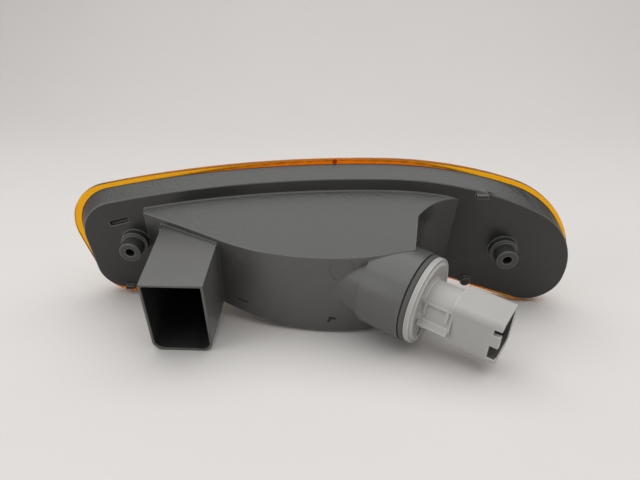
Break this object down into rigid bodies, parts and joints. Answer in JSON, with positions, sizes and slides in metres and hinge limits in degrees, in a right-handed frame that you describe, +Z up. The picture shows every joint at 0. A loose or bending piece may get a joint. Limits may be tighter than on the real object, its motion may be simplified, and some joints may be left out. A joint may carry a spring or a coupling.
{
  "type": "vehicle indicator lamp",
  "caption": "Bean-shaped amber vehicle indicator lamp with a moulded grey back housing, screw bosses, a hollow locating leg and an angled twist-in bulb holder.",
  "frame": {"origin": "bottom centre of the box around the whole lamp, on the surface it rests on", "axes": "+X along the length of the lamp, to the right as seen from behind; +Y forward, out through the lens; +Z up. The lens leans back by about 14 degrees, as the lamp rests on its leg and lens flange"},
  "size_m": [0.232, 0.0832, 0.0729],
  "materials": {
    "housing_plastic": "fine grained dark grey moulding",
    "amber_lens": "clear amber, polished",
    "holder_plastic": "light grey moulding",
    "gasket_rubber": "soft dark grey",
    "terminal_metal": "stamped strip",
    "cap_metal": "nickelled sheet",
    "cap_insulator": "dark fused insulator",
    "contact_metal": "solder bead",
    "bulb_glass": "clear blown glass",
    "filament_metal": "fine wire"
  },
  "bodies": {
    "lamp": {"housing": "housing_plastic", "lens": "amber_lens"},
    "holder": {"bulb_holder": "holder_plastic", "holder_gasket": "gasket_rubber", "feed_terminal": "terminal_metal", "ground_terminal": "terminal_metal", "bulb_cap": "cap_metal", "bulb_insulator": "cap_insulator", "bulb_contact": "contact_metal", "bulb_glass": "bulb_glass", "bulb_stem": "bulb_glass", "bulb_filament": "filament_metal"}
  },
  "joints": [
    {"name": "bulb_holder_twist", "type": "hinge", "parent": "lamp", "child": "holder", "pos_m": [0.04087, -0.01309, 0.02251], "axis": [0.8329, -0.5368, -0.1345], "range_deg": [0, 40]}
  ]
}
